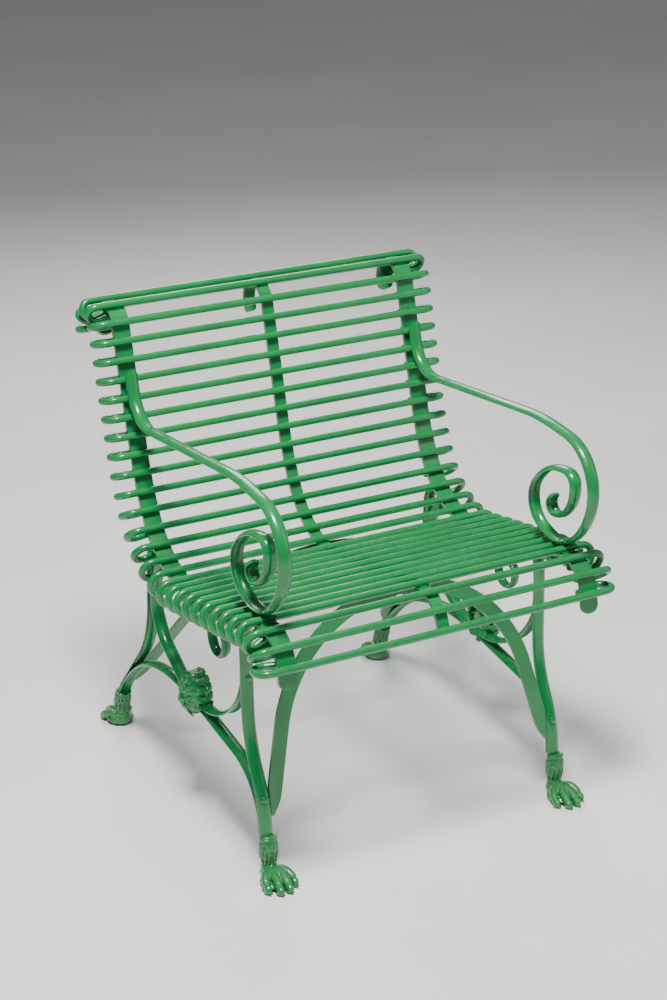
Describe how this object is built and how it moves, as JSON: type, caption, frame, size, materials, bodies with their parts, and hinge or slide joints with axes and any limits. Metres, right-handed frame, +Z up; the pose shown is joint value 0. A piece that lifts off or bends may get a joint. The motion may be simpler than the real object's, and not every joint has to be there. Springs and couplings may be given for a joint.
{
  "type": "garden bench",
  "caption": "Wrought-iron garden bench for one person, with round rods on rolled straps, scrolled arms, arches between the legs, lion masks and paw feet.",
  "frame": {"origin": "on the floor, under the middle of the whole bench", "axes": "-Y is the way the sitter faces, +X is on the right of a person looking at the front, +Z is up"},
  "size_m": [0.632, 0.7518, 0.8063],
  "materials": {
    "bar_paint": "gloss green paint on wrought iron",
    "cast_paint": "gloss green paint on rougher cast iron"
  },
  "bodies": {
    "root": {"centre_strap": "bar_paint", "front_arch": "bar_paint", "left_arm": "bar_paint", "left_front_leg": "bar_paint", "left_front_paw": "cast_paint", "left_hook": "bar_paint", "left_lower_side_bar": "bar_paint", "left_mask": "cast_paint", "left_rear_leg": "bar_paint", "left_rear_paw": "cast_paint", "left_strap": "bar_paint", "left_upper_side_bar": "bar_paint", "rear_arch": "bar_paint", "right_arm": "bar_paint", "right_front_leg": "bar_paint", "right_front_paw": "cast_paint", "right_hook": "bar_paint", "right_lower_side_bar": "bar_paint", "right_mask": "cast_paint", "right_rear_leg": "bar_paint", "right_rear_paw": "cast_paint", "right_strap": "bar_paint", "right_upper_side_bar": "bar_paint", "rod_01": "bar_paint", "rod_02": "bar_paint", "rod_03": "bar_paint", "rod_04": "bar_paint", "rod_05": "bar_paint", "rod_06": "bar_paint", "rod_07": "bar_paint", "rod_08": "bar_paint", "rod_09": "bar_paint", "rod_10": "bar_paint", "rod_11": "bar_paint", "rod_12": "bar_paint", "rod_13": "bar_paint", "rod_14": "bar_paint", "rod_15": "bar_paint", "rod_16": "bar_paint", "rod_17": "bar_paint", "rod_18": "bar_paint", "rod_19": "bar_paint", "rod_20": "bar_paint", "rod_21": "bar_paint", "rod_22": "bar_paint", "rod_23": "bar_paint", "rod_24": "bar_paint", "rod_25": "bar_paint", "rod_26": "bar_paint", "rod_27": "bar_paint", "rod_28": "bar_paint", "rod_29": "bar_paint", "rod_30": "bar_paint", "rod_31": "bar_paint", "rod_32": "bar_paint"}
  },
  "joints": []
}
